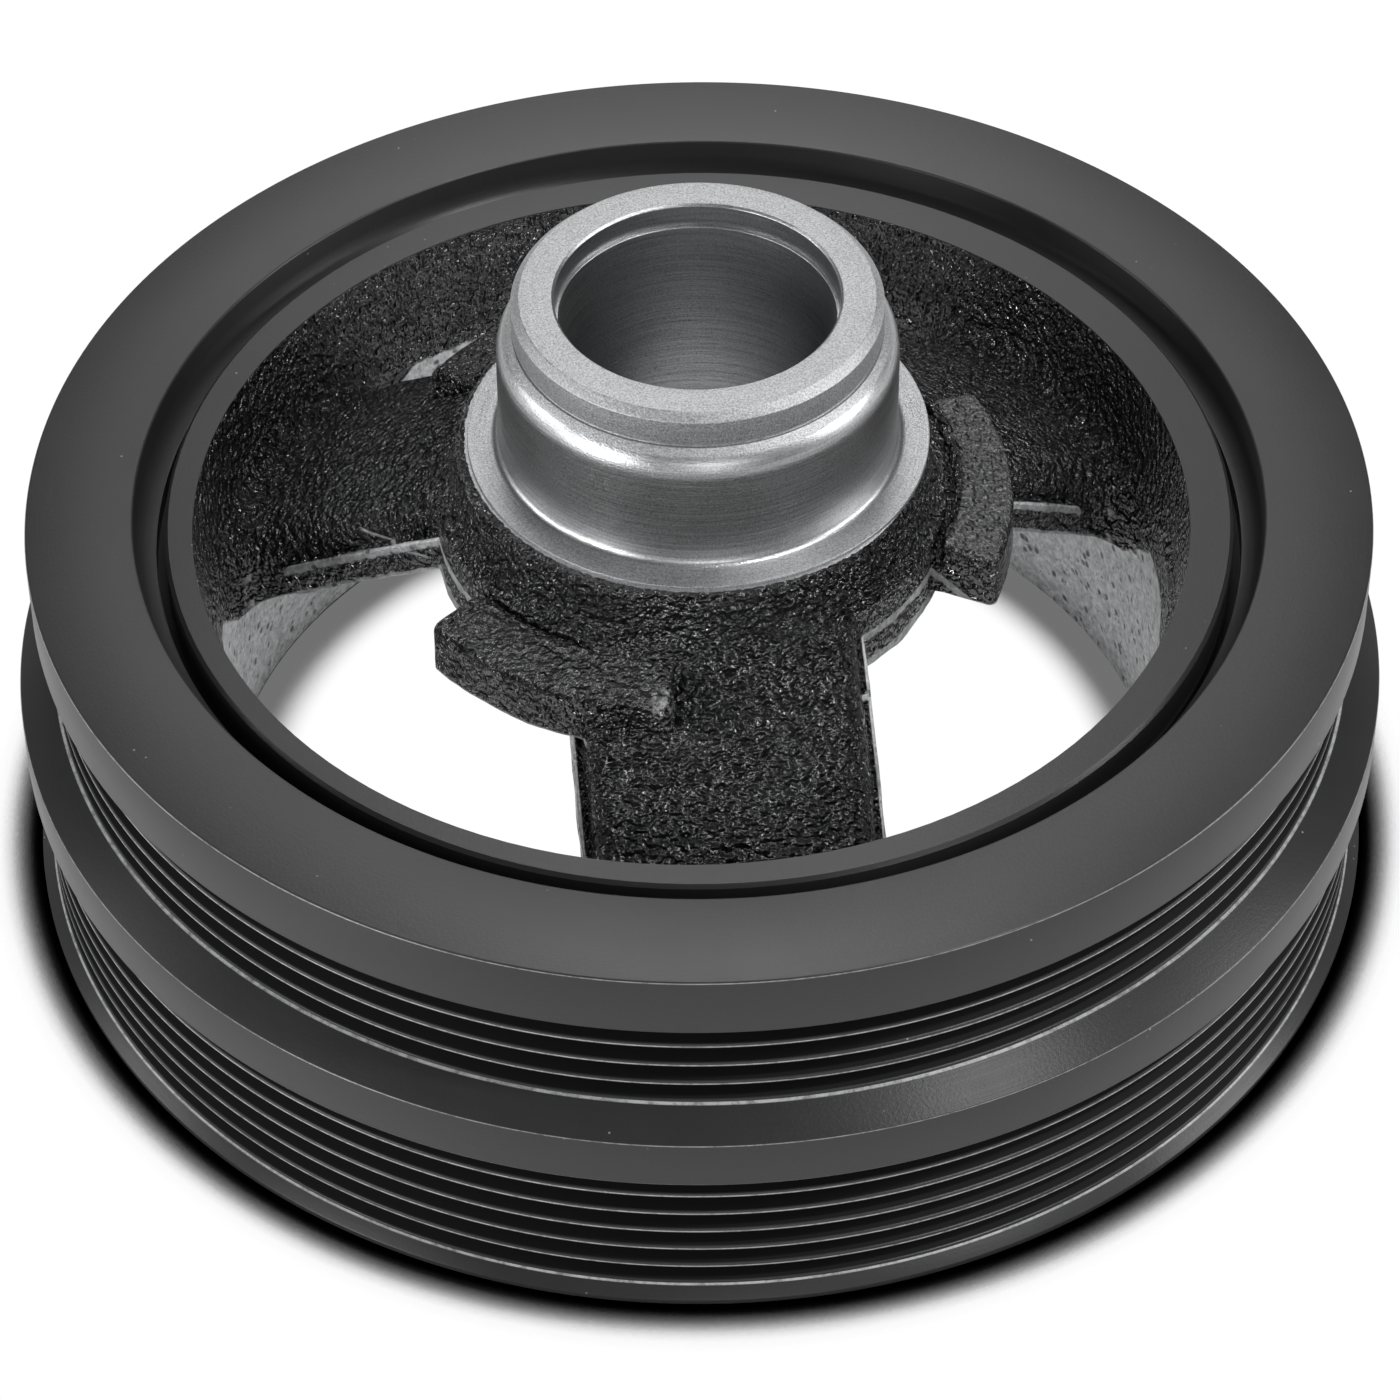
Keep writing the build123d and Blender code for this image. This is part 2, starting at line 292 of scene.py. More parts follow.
class Graph:
    """The node tree of one material, read in Object coordinates."""

    def __init__(self, name: str) -> None:
        """Starts a material with an empty tree.

        Args:
            name: The material's name.
        """
        self.material = bpy.data.materials.new(name)
        self.material.use_nodes = True
        self.tree = self.material.node_tree
        self.tree.nodes.clear()
        self.place = self.node("ShaderNodeTexCoord").outputs["Object"]
        split = self.node("ShaderNodeSeparateXYZ", inputs={0: self.place})
        self.x = Value(self, split.outputs["X"])
        self.y = Value(self, split.outputs["Y"])
        self.z = Value(self, split.outputs["Z"])
        self.radius = (self.x * self.x + self.y * self.y) ** 0.5

    def node(self, kind: str, settings: dict | None = None, inputs: dict | None = None) -> bpy.types.Node:
        """Adds a node.

        Args:
            kind: The node's type.
            settings: Properties of the node.
            inputs: Sockets by name or number, with a Value, a socket or a constant.

        Returns:
            The new node.
        """
        node = self.tree.nodes.new(kind)
        for key, value in (settings or {}).items():
            setattr(node, key, value)
        for key, value in (inputs or {}).items():
            source = value.socket if isinstance(value, Value) else value
            if isinstance(source, bpy.types.NodeSocket):
                self.tree.links.new(source, node.inputs[key])
            else:
                node.inputs[key].default_value = source
        return node

    def vector(self, x: Value | float, y: Value | float, z: Value | float) -> bpy.types.NodeSocket:
        """Joins three numbers to a vector."""
        return self.node("ShaderNodeCombineXYZ", inputs={0: x, 1: y, 2: z}).outputs[0]

    def noise(self, grain: float, detail: float = 2.0, roughness: float = 0.5) -> Value:
        """Noise whose blotches measure about one grain, in metres."""
        inputs = {"Vector": self.place, "Scale": 1 / grain, "Detail": detail, "Roughness": roughness}
        return Value(self, self.node("ShaderNodeTexNoise", inputs=inputs).outputs[0])

    def cells(self, grain: float) -> Value:
        """Distance to the nearest of scattered points, one to each grain in metres."""
        inputs = {"Vector": self.place, "Scale": 1 / grain}
        return Value(self, self.node("ShaderNodeTexVoronoi", inputs=inputs).outputs["Distance"])

    def azimuth(self, x: Value, y: Value) -> Value:
        """Angle of a place in plan, in radians."""
        return Value(self, self.node("ShaderNodeMath", {"operation": "ARCTAN2"}, {0: y, 1: x}).outputs[0])

    def facing_up(self) -> Value:
        """Height of the surface's normal, 1 on a level top."""
        normal = self.node("ShaderNodeNewGeometry").outputs["True Normal"]
        return Value(self, self.node("ShaderNodeSeparateXYZ", inputs={0: normal}).outputs["Z"])

    def turned(self, grain: float, scale: float) -> Value:
        """Fine lines that run round the axis, as a lathe tool leaves them.

        Args:
            grain: Width of a line.
            scale: How many patches of lines fill one radian.

        Returns:
            The lines, from 0 to 1.
        """
        across = self.z * 0.8 + self.radius * 0.9
        place = self.vector(self.x / self.radius * scale, self.y / self.radius * scale, across / grain)
        inputs = {"Vector": place, "Scale": 1.0, "Detail": 3.0, "Roughness": 0.6}
        return Value(self, self.node("ShaderNodeTexNoise", inputs=inputs).outputs[0])

    def blend(self, share: Value, low: tuple | bpy.types.NodeSocket,
              high: tuple | bpy.types.NodeSocket) -> bpy.types.NodeSocket:
        """Mixes two colours.

        Args:
            share: How much of the second colour shows, from 0 to 1.
            low: The first colour.
            high: The second colour.

        Returns:
            The mixed colour.
        """
        colours = [(*c, 1) if isinstance(c, tuple) else c for c in (low, high)]
        node = self.node("ShaderNodeMix", {"data_type": "RGBA"}, {0: share, 6: colours[0], 7: colours[1]})
        return node.outputs[2]

    def bump(self, height: Value, depth: float,
             under: bpy.types.NodeSocket | None = None) -> bpy.types.NodeSocket:
        """Turns a height into a normal.

        Args:
            height: Height from 0 to 1.
            depth: Height of a full step in metres, or less than 0 where the steps go inwards.
            under: The normal of a coarser relief that this one lies on.

        Returns:
            The normal.
        """
        inputs = {"Strength": 1.0, "Distance": depth, "Height": height}
        if under is not None:
            inputs["Normal"] = under
        return self.node("ShaderNodeBump", inputs=inputs).outputs[0]

    def surface(self, **inputs: object) -> bpy.types.NodeSocket:
        """Adds a shader, whose sockets are named with underscores for blanks."""
        named = {key.replace("_", " "): value for key, value in inputs.items()}
        return self.node("ShaderNodeBsdfPrincipled", inputs=named).outputs[0]

    def mix(self, share: Value, low: bpy.types.NodeSocket,
            high: bpy.types.NodeSocket) -> bpy.types.NodeSocket:
        """Mixes two shaders by a share from 0 to 1."""
        return self.node("ShaderNodeMixShader", inputs={0: share, 1: low, 2: high}).outputs[0]

    def end(self, shader: bpy.types.NodeSocket) -> bpy.types.Material:
        """Ends the tree with its surface."""
        self.node("ShaderNodeOutputMaterial", inputs={"Surface": shader})
        return self.material


def grey(level: float) -> tuple[float, float, float]:
    """A neutral colour, a trace cooler than grey."""
    return (level * 0.99, level, level * 1.015)


# Finishes


@dataclass(frozen=True)
class SatinCoat:
    """Satin black coating over turned faces, with fine turning lines and a few specks."""

    base: float = 0.022
    wear_and_highlight: float = 0.42
    roughness: float = 0.38
    cloud_size: float = 22 * MM
    dust_size: float = 0.5 * MM
    speck_size: float = 2.6 * MM
    line_width: float = 0.10 * MM

    def shader(self, graph: Graph, edge_wear_and_highlight: Value | None = None) -> bpy.types.NodeSocket:
        """Adds the coating's shader to a graph.

        Args:
            graph: The material's tree.
            edge_wear_and_highlight: Share of light grey lines, where the coating has gone from the rib tips
                and where highlight is painted along edges.

        Returns:
            The shader.
        """
        cloud = graph.noise(self.cloud_size, 4, 0.6)
        dust = graph.noise(self.dust_size, 2, 0.7)
        speck = graph.cells(self.speck_size).rise(0.085, 0.03) * graph.noise(11 * MM).rise(0.56, 0.66)
        lines = graph.turned(self.line_width, 1.6)
        colour = graph.blend(cloud * 0.6 + dust * 0.4, grey(self.base * 0.75), grey(self.base * 1.3))
        colour = graph.blend(speck * 0.6, colour, grey(self.wear_and_highlight))
        # Light lines along edges: partly wear, partly painted highlight.
        if edge_wear_and_highlight is not None:
            colour = graph.blend(edge_wear_and_highlight, colour, grey(self.wear_and_highlight))
        normal = graph.bump(dust, 0.02 * MM)
        normal = graph.bump(lines, 0.010 * MM, normal)
        roughness = self.roughness + (cloud - 0.5) * 0.12 + (lines - 0.5) * 0.10
        return graph.surface(Base_Color=colour, Roughness=roughness, Normal=normal, Anisotropic=0.6,
                             Anisotropic_Rotation=0.25, Specular_IOR_Level=0.4)


@dataclass(frozen=True)
class Ribs:
    """Where a pulley's ribs stand.

    Args:
        tip_r: Radius of the ribs' tips.
        low: Height of the lowest tip.
        high: Height of the highest tip.
        pitch: Height from tip to tip.
        depth: Depth of the grooves.
    """

    tip_r: float
    low: float
    high: float
    pitch: float
    depth: float


@dataclass(frozen=True)
class PulleyCoat:
    """Satin black coating; its darker black in the belt grooves is painted shade, and its light edge lines
    are partly wear and partly painted highlight.

    Args:
        pulleys: The ribs of each pulley.
        edges: Radius and height of each outer edge that gets a painted highlight line.
    """

    pulleys: tuple[Ribs, ...]
    edges: tuple[tuple[float, float], ...]
    satin: SatinCoat = SatinCoat()
    dull_and_shade: float = 0.006
    dull_roughness: float = 0.6
    line: float = 0.14 * MM
    line_drop: float = 0.1 * MM

    def groove_shade(self, graph: Graph) -> Value:
        """Share of the belt grooves' black, darker than the satin coat: painted shade, on a rougher finish.

        Args:
            graph: The material's tree.

        Returns:
            1 in the grooves, fading to 0 just under the tips.
        """
        shares = []
        for ribs in self.pulleys:
            under_tips = graph.radius.below(ribs.tip_r - 0.12 * MM, 0.18 * MM)
            outside = graph.radius.above(ribs.tip_r - ribs.depth - MM, 0.5 * MM)
            height = graph.z.above(ribs.low - MM, MM) * graph.z.below(ribs.high + MM, MM)
            shares.append(under_tips * outside * height)
        return strongest(shares)

    def edge_wear_and_highlight(self, graph: Graph) -> Value:
        """Share of light lines: along the rib tips partly wear and partly painted highlight, along the outer
        edges painted highlight.

        Args:
            graph: The material's tree.

        Returns:
            The share, broken up along each line.
        """
        shares = []
        for ribs in self.pulleys:
            across = (graph.z - ribs.low + self.line_drop).wrapped(ribs.pitch).size()
            tips = across.rise(self.line, self.line * 0.4)
            tips = tips * graph.radius.rise(ribs.tip_r - 0.15 * MM, ribs.tip_r)
            low = graph.z.above(ribs.low - 0.4 * MM, 0.1 * MM)
            high = graph.z.below(ribs.high - 0.5 * MM, 0.1 * MM)
            shares.append(tips * low * high)
        for radius, height in self.edges:
            out = graph.radius - radius
            up = graph.z - height
            shares.append(((out * out + up * up) ** 0.5).rise(self.line, self.line * 0.4) * 0.6)
        return strongest(shares) * (0.35 + 0.65 * graph.noise(1.5 * MM, 4, 0.8).rise(0.3, 0.6))

    def shader(self, graph: Graph) -> bpy.types.NodeSocket:
        """Adds the coating's shader to a graph.

        Args:
            graph: The material's tree.

        Returns:
            The shader.
        """
        satin = self.satin.shader(graph, self.edge_wear_and_highlight(graph))
        # The grooves get a darker colour than the satin coat: painted shade in the grooves, on a rougher,
        # less shiny finish.
        dull_and_shade = graph.surface(Base_Color=(*grey(self.dull_and_shade), 1), Roughness=self.dull_roughness,
                             Specular_IOR_Level=0.12)
        return graph.mix(self.groove_shade(graph), satin, dull_and_shade)


@dataclass(frozen=True)
class TurnedMetal:
    """Bare iron, turned on a lathe.

    Args:
        base: Reflectance.
        roughness: Roughness of the finish.
        grain: Share of the granular pattern in the colour, against the turning lines.
    """

    base: float = 0.44
    roughness: float = 0.52
    grain: float = 0.85
    line_width: float = 0.16 * MM
    grain_size: float = 0.26 * MM
    cloud_size: float = 7 * MM
    pit_size: float = 1.9 * MM

    def shader(self, graph: Graph) -> bpy.types.NodeSocket:
        """Adds the metal's shader to a graph.

        Args:
            graph: The material's tree.

        Returns:
            The shader.
        """
        lines = graph.turned(self.line_width, 1.4)
        grain = graph.noise(self.grain_size, 2, 0.7)
        cloud = graph.noise(self.cloud_size, 4, 0.6)
        pit = graph.cells(self.pit_size).rise(0.10, 0.04) * graph.noise(6 * MM).rise(0.58, 0.68)
        pattern = lines * (1 - self.grain) + grain * self.grain
        colour = graph.blend(pattern.rise(0.25, 0.75), grey(self.base * 0.55), grey(self.base * 1.4))
        colour = graph.blend(pit * 0.7, colour, grey(self.base * 0.2))
        normal = graph.bump(grain, 0.09 * MM * self.grain)
        normal = graph.bump(lines, 0.02 * MM, normal)
        roughness = self.roughness + (grain - 0.5) * 0.20 + (cloud - 0.5) * 0.10
        return graph.surface(Base_Color=colour, Metallic=1.0, Roughness=roughness, Normal=normal)


@dataclass(frozen=True)
class CastCoat:
    """Glossy black paint over a sand-cast skin.

    Args:
        base: Reflectance of the paint.
        thin_and_sheen: Reflectance of the paler grey, where the paint lies thinly and where sheen is
            painted.
        roughness: Roughness of the paint.
    """

    base: float = 0.011
    thin_and_sheen: float = 0.11
    roughness: float = 0.2
    pebble_size: float = 1.6 * MM
    grit_size: float = 0.95 * MM
    lump_size: float = 5 * MM
    dust_size: float = 0.35 * MM

    def shader(self, graph: Graph, thin_and_sheen: Value) -> bpy.types.NodeSocket:
        """Adds the paint's shader to a graph.

        Args:
            graph: The material's tree.
            thin_and_sheen: Share of the paler grey: paint laid so thinly that the iron's grain shows
                through, together with painted sheen.

        Returns:
            The shader.
        """
        pebble = graph.cells(self.pebble_size)
        grit = graph.noise(self.grit_size, 1, 0.5)
        lump = graph.noise(self.lump_size, 2, 0.5)
        dust = graph.noise(self.dust_size, 2, 0.6)
        normal = graph.bump(lump, 0.9 * MM)
        normal = graph.bump(pebble, -0.9 * MM, normal)
        normal = graph.bump(grit, 2.8 * MM, normal)
        colour = graph.blend(grit.rise(0.35, 0.7), grey(self.base * 0.5), grey(self.base * 2.0))
        colour = graph.blend(thin_and_sheen * dust.rise(0.3, 0.6), colour, grey(self.thin_and_sheen))
        roughness = self.roughness + thin_and_sheen * 0.2
        return graph.surface(Base_Color=colour, Roughness=roughness, Normal=normal, Specular_IOR_Level=0.8)


@dataclass(frozen=True)
class BareIronAndHighlight:
    """Grey sand-cast iron with dark pits, where the paint didn't reach or has come off; its colour also
    paints highlight lines along lower edges.
    """

    base: float = 0.58
    roughness: float = 0.6
    hole_size: float = 2.0 * MM
    pore_size: float = 1.0 * MM
    blotch_size: float = 1.2 * MM

    def shader(self, graph: Graph) -> bpy.types.NodeSocket:
        """Adds the iron's shader to a graph.

        Args:
            graph: The material's tree.

        Returns:
            The shader.
        """
        hole = graph.cells(self.hole_size).rise(0.34, 0.16) * graph.noise(3 * MM).rise(0.42, 0.55)
        pore = graph.cells(self.pore_size).rise(0.30, 0.12) * graph.noise(2 * MM).rise(0.45, 0.6)
        blotch = graph.noise(self.blotch_size, 4, 0.7)
        colour = graph.blend(blotch.rise(0.3, 0.7), grey(self.base * 0.65), grey(self.base * 1.2))
        colour = graph.blend((hole * 0.8).higher(pore * 0.6), colour, grey(self.base * 0.12))
        normal = graph.bump(blotch, 0.35 * MM)
        normal = graph.bump(hole, -0.2 * MM, normal)
        return graph.surface(Base_Color=colour, Roughness=self.roughness, Metallic=0.7, Normal=normal)


@dataclass(frozen=True)
class Elastomer:
    """Matt black rubber."""

    base: float = 0.010
    roughness: float = 0.75
    cloud_size: float = 2 * MM

    def shader(self, graph: Graph) -> bpy.types.NodeSocket:
        """Adds the rubber's shader to a graph.

        Args:
            graph: The material's tree.

        Returns:
            The shader.
        """
        cloud = graph.noise(self.cloud_size, 3)
        normal = graph.bump(cloud, 0.1 * MM)
        colour = graph.blend(cloud, grey(self.base * 0.7), grey(self.base * 1.3))
        return graph.surface(Base_Color=colour, Roughness=self.roughness, Normal=normal)


def plain(name: str, finish: PulleyCoat | Elastomer) -> bpy.types.Material:
    """A material with one finish all over."""
    graph = Graph(name)
    return graph.end(finish.shader(graph))


@dataclass(frozen=True)
class CastPlace:
    """A place on the casting, seen from the casting's own axis and from the nearest arm.

    Args:
        radius: Distance from the casting's axis.
        angle: Angle from the arm's middle, in radians.
        offset: Distance from the arm's middle line.
        depth: Depth under the web's sloping top.
        chip: Ragged shift of the edges of light lines and patches, in metres either way.
    """

    radius: Value
    angle: Value
    offset: Value
    depth: Value
    chip: Value


@dataclass(frozen=True)
class HubZones:
    """Where each finish of the hub begins, in metres and degrees.

    The cast shapes stand round the casting's own axis, a hair off the turned one. Depths lie under the web's
    sloping top, and a blur is the width over which two finishes meet.
    """

    blur: float = 0.1 * MM
    boss_top: float = 70.5 * MM
    bare_low: float = 70.15 * MM
    bare_r: float = 32.25 * MM
    ragged: float = 1.1 * MM
    journal_low: float = 70.8 * MM
    journal_high: float = 88.9 * MM
    journal_blur: float = 0.3 * MM
    bore_r: float = 19.6 * MM
    bore_blur: float = 0.02 * MM
    seat_z: float = 33.5 * MM
    rim_inner_r: float = 67.0 * MM
    rim_outer_r: float = 73.0 * MM
    rim_top: float = 57.5 * MM
    rim_bottom: float = 2.6 * MM
    turned_r: float = 69.6 * MM
    wall_r: float = 64.6 * MM
    wall_fade: float = 2.0 * MM
    wall_blur: float = 0.3 * MM
    spray: float = 2.0 * MM
    ridge: float = 39.6 * MM
    paint_low: float = 29.5 * MM
    paint_from: float = 17.0
    paint_slope: float = 0.95 * MM
    cast_x: float = -1.06 * MM
    cast_y: float = -1.06 * MM
    arm_azimuth: float = 276.0
    arm_count: int = 3
    chip_size: float = 1.6 * MM
    ledge_offset: float = 19.9 * MM
    ledge_top: float = 4.7 * MM
    # Widths of the light bands on the ledges: partly wear, partly painted highlight.
    ledge_top_wear_and_highlight: float = 1.4 * MM
    ledge_foot: float = 10.5 * MM
    ledge_foot_wear_and_highlight: float = 1.2 * MM
    web_r: float = 33.5 * MM
    web_z: float = 64.1 * MM
    web_slope: float = 0.6604
    web_thickness: float = 11.0 * MM
    # Extent of the painted highlight line along the arms' lower edges.
    foot_above: float = 0.35 * MM
    foot_below: float = 0.8 * MM
    ear_r: float = 36.5 * MM
    ear_width: float = 10.0 * MM
    ear_low: float = 54.0 * MM
    ear_top: float = 61.2 * MM
    ear_highlight_band: float = 0.3 * MM
    ear_end: tuple[float, float] = (-13.5, -9.0)
    ear_end_height: float = 4.0 * MM
    ear_side: float = -9.0
    front_y: float = -30.0 * MM
    right_x: float = 20.0 * MM

    def from_arm(self, azimuth: Value) -> Value:
        """Angle from the middle of the nearest arm, in radians."""
        return (azimuth - math.radians(self.arm_azimuth)).wrapped(math.tau / self.arm_count)

    def place(self, graph: Graph) -> CastPlace:
        """Reads a surface's place on the casting.

        Args:
            graph: The material's tree.

        Returns:
            The place.
        """
        x = graph.x - self.cast_x
        y = graph.y - self.cast_y
        radius = (x * x + y * y) ** 0.5
        angle = self.from_arm(graph.azimuth(x, y))
        offset = (radius * angle.sine()).size()
        depth = self.web_z - (radius - self.web_r) * self.web_slope - graph.z
        chip = (graph.noise(self.chip_size, 4, 0.7) - 0.5) * self.chip_size
        return CastPlace(radius, angle, offset, depth, chip)

    def bore(self, graph: Graph) -> Value:
        """Share of the bore."""
        return graph.radius.rise(self.bore_r + self.bore_blur, self.bore_r - self.bore_blur)

    def bare(self, graph: Graph) -> Value:
        """Share of bare turned iron: the snout, its bore and the chipped edge of the paint round them.

        Args:
            graph: The material's tree.

        Returns:
            The share.
        """
        ragged = (graph.noise(self.ragged, 4, 0.75) - 0.5) * self.ragged
        inside = (graph.radius + ragged).below(self.bare_r, self.blur)
        snout = graph.z.above(self.bare_low, self.blur) * inside
        return snout.higher(self.bore(graph) * graph.z.above(self.seat_z, MM))

    def ground(self, graph: Graph) -> Value:
        """Share of finely ground iron: the shoulder, the journal and the bore.

        Args:
            graph: The material's tree.

        Returns:
            The share.
        """
        low = graph.z.above(self.journal_low, self.journal_blur)
        high = graph.z.below(self.journal_high, self.journal_blur)
        return (low * high).higher(self.bore(graph))

    def turned(self, graph: Graph) -> Value:
        """Share of the rim's turned and coated faces.

        Args:
            graph: The material's tree.

        Returns:
            The share.
        """
        high = graph.z.above(self.rim_top, self.blur)
        low = graph.z.below(self.rim_bottom, self.blur)
        outside = graph.radius.above(self.rim_outer_r, self.blur)
        return strongest([high, low, outside]) * graph.radius.above(self.rim_inner_r, self.blur)

    def low_wall(self, graph: Graph, place: CastPlace) -> Value:
        """Share of the windows' low walls, which the paint didn't reach.

        Args:
            graph: The material's tree.
            place: The place on the casting.

        Returns:
            The share, with a sprayed edge that rises away from the arms.
        """
        spray = (graph.noise(2.5 * MM, 4, 0.7) - 0.5) * self.spray
        past = (place.angle.size() * math.degrees(1) - self.paint_from).higher(0.0)
        limit = (self.paint_low + past * self.paint_slope).lower(self.ridge)
        low = (graph.z + spray - limit).rise(self.wall_blur, -self.wall_blur)
        return low * place.radius.above(self.wall_r, 0.2 * MM)

    def painted_foot_highlight(self, place: CastPlace) -> Value:
        """Share of the painted highlight line along an arm's lower edge."""
        above = (place.depth + place.chip * 0.25).above(self.web_thickness - self.foot_above, self.blur)
        return above * place.depth.below(self.web_thickness + self.foot_below, 0.2 * MM)

    def ledge_wear_and_highlight(self, place: CastPlace) -> Value:
        """Share of the light bands along the ledges of an arm's sides, partly wear and partly painted
        highlight.

        Args:
            place: The place on the casting.

        Returns:
            The share.
        """
        ragged = place.depth + place.chip
        top = ragged.below(self.ledge_top + self.ledge_top_wear_and_highlight, 0.4 * MM)
        foot = ragged.above(self.ledge_foot - self.ledge_foot_wear_and_highlight, 0.3 * MM)
        beside = place.offset.above(self.ledge_offset, 0.2 * MM)
        return top.higher(foot) * beside * place.depth.above(self.ledge_top - 0.3 * MM, 0.3 * MM)

    def painted_ear_highlight(self, graph: Graph, place: CastPlace) -> Value:
        """Share of the painted highlight line along an ear's lower edge.

        Args:
            graph: The material's tree.
            place: The place on the casting.

        Returns:
            The share.
        """
        under = (graph.z + place.chip * 0.2).below(self.ear_low + self.ear_highlight_band, self.blur)
        above = graph.z.above(self.ear_low - self.ear_highlight_band, self.ear_highlight_band)
        inside = place.radius.below(self.ear_r + self.ear_width, MM)
        return under * above * place.radius.above(self.ear_r, MM) * inside

    def rough_end(self, graph: Graph, place: CastPlace) -> Value:
        """Share of the rough patch where the front ear ends on its arm.

        Args:
            graph: The material's tree.
            place: The place on the casting.

        Returns:
            The share.
        """
        start, end = (math.radians(angle) for angle in self.ear_end)
        along = place.angle.above(start, math.radians(1)) * place.angle.below(end, math.radians(1))
        high = (graph.z + place.chip * 0.5).above(self.ear_top - self.ear_end_height, MM)
        outer = place.radius.above(self.ear_r + 4 * MM, 0.5 * MM)
        front = graph.y.below(self.front_y, 2 * MM)
        return along * high * outer * front * graph.noise(1.3 * MM, 4, 0.8).rise(0.47, 0.60)

    def bare_iron_and_highlights(self, graph: Graph) -> Value:
        """Share of the bare iron finish: the windows' low walls, painted highlight lines along the arms' and
        ears' lower edges, and the ledges' wear and painted highlight.

        Args:
            graph: The material's tree.

        Returns:
            The share.
        """
        place = self.place(graph)
        not_under = graph.facing_up().rise(-0.75, -0.6)
        # Light lines along lower edges are painted highlight; the ledges' bands are wear and painted
        # highlight.
        foot = self.painted_foot_highlight(place) * 0.6
        ear = self.painted_ear_highlight(graph, place) * 0.7
        wear_and_highlight = strongest([foot, self.ledge_wear_and_highlight(place), ear]) * not_under
        wear_and_highlight = wear_and_highlight * place.radius.below(self.wall_r, self.wall_fade)
        rough = self.rough_end(graph, place) * 0.45
        return strongest([self.low_wall(graph, place), wear_and_highlight * 0.85, rough])

    def thin_paint_and_sheen(self, graph: Graph) -> Value:
        """Share of paler grey on the ears' tops, most of all on the right ear's: thinly laid paint, with
        painted sheen on upward faces and on the right.

        Args:
            graph: The material's tree.

        Returns:
            The share.
        """
        side = self.from_arm(graph.azimuth(graph.x, graph.y))
        # Upward faces, and the right side most, are painted paler: painted sheen on thinly laid paint.
        top = graph.z.rise(self.ear_top - 0.5 * MM, self.ear_top) * graph.facing_up().rise(0.5, 0.8)
        on_ear = side.below(math.radians(self.ear_side), math.radians(3))
        right = 0.35 + 0.65 * graph.x.above(self.right_x, 5 * MM)
        return top * graph.radius.above(self.ear_r, 0.5 * MM) * on_ear * right

    def material(self, name: str) -> bpy.types.Material:
        """Joins the hub's finishes by zone.

        Args:
            name: The material's name.

        Returns:
            The material.
        """
        graph = Graph(name)
        coat = CastCoat().shader(graph, self.thin_paint_and_sheen(graph))
        # The bare iron finish also paints the highlight lines along the lower edges.
        skin = graph.mix(self.bare_iron_and_highlights(graph), coat, BareIronAndHighlight().shader(graph))
        skin = graph.mix(self.turned(graph), skin, SatinCoat().shader(graph))
        granular = TurnedMetal().shader(graph)
        smooth_iron = TurnedMetal(base=0.46, roughness=0.33, grain=0.5).shader(graph)
        metal = graph.mix(self.ground(graph), granular, smooth_iron)
        return graph.end(graph.mix(self.bare(graph), skin, metal))


# Pieces


